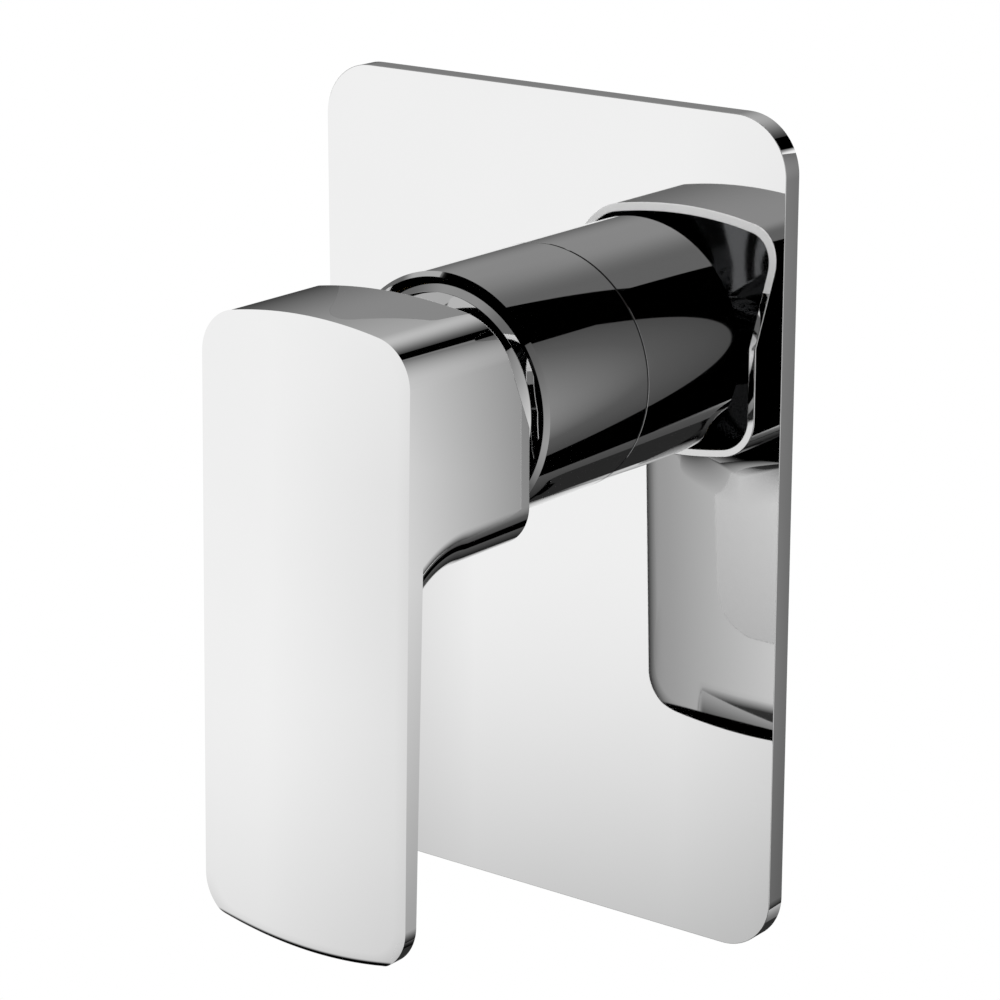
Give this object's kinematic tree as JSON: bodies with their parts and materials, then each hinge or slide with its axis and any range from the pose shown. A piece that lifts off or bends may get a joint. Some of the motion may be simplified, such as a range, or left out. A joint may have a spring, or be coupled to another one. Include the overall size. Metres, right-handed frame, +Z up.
{
  "type": "wall mixer tap",
  "caption": "Concealed single-lever wall mixer tap: flat cover plate, round barrel, domed cap and a lever that lifts to open and turns to mix, with its cartridge and in-wall valve body.",
  "frame": {"origin": "on the barrel's axis, in the plane of the finished wall, midway between the two fixing holes of the in-wall body", "axes": "+Z up the wall, +Y into the wall, -Y out of the wall towards the user, +X to the user's right"},
  "size_m": [0.1, 0.0994, 0.15],
  "materials": {
    "chrome_lever": "polished chrome on cast zinc",
    "chrome_plate": "polished chrome on stamped steel",
    "chrome_sleeve": "polished chrome on drawn brass",
    "chrome_dome": "polished chrome on turned brass",
    "cast_brass": "as cast",
    "machined_brass": "machined",
    "steel": "ground stainless",
    "alumina": "lapped",
    "white_plastic": "moulded",
    "grey_plastic": "moulded",
    "red_plastic": "moulded",
    "black_rubber": "moulded",
    "foam_seal": "closed-cell foam"
  },
  "bodies": {
    "valve": {"in_wall_body": "cast_brass", "wall_plate": "chrome_plate", "plate_gasket": "foam_seal", "barrel_sleeve": "chrome_sleeve", "sleeve_o_ring_rear": "black_rubber", "sleeve_o_ring_front": "black_rubber", "dome_cap": "chrome_dome", "cartridge_base": "grey_plastic", "hot_inlet_seal": "black_rubber", "cold_inlet_seal": "black_rubber", "outlet_seal": "black_rubber", "fixed_ceramic_disc": "alumina", "cartridge_housing": "white_plastic", "temperature_limit_ring": "red_plastic", "retaining_nut": "machined_brass"},
    "guide": {"rotating_guide": "white_plastic", "pivot_pin": "steel"},
    "lever": {"lever_stem": "machined_brass", "lever_handle": "chrome_lever", "grub_screw": "steel", "index_plug": "grey_plastic"},
    "disc": {"disc_carrier": "grey_plastic", "moving_ceramic_disc": "alumina"}
  },
  "joints": [
    {"name": "mix", "type": "hinge", "parent": "valve", "child": "guide", "pos_m": [0, 0, 0], "axis": [0, 1, 0], "range_deg": [-45, 45]},
    {"name": "lift", "type": "hinge", "parent": "guide", "child": "lever", "pos_m": [0, -0.028, 0], "axis": [-1, 0, 0], "range_deg": [0, 22]},
    {"name": "disc_slide", "type": "slide", "parent": "guide", "child": "disc", "axis": [0, 0, -1], "range_m": [0, 0.00573]}
  ],
  "couplings": [
    {"joint": "disc_slide", "follows": "lift", "m_per_rad": 0.014908}
  ]
}
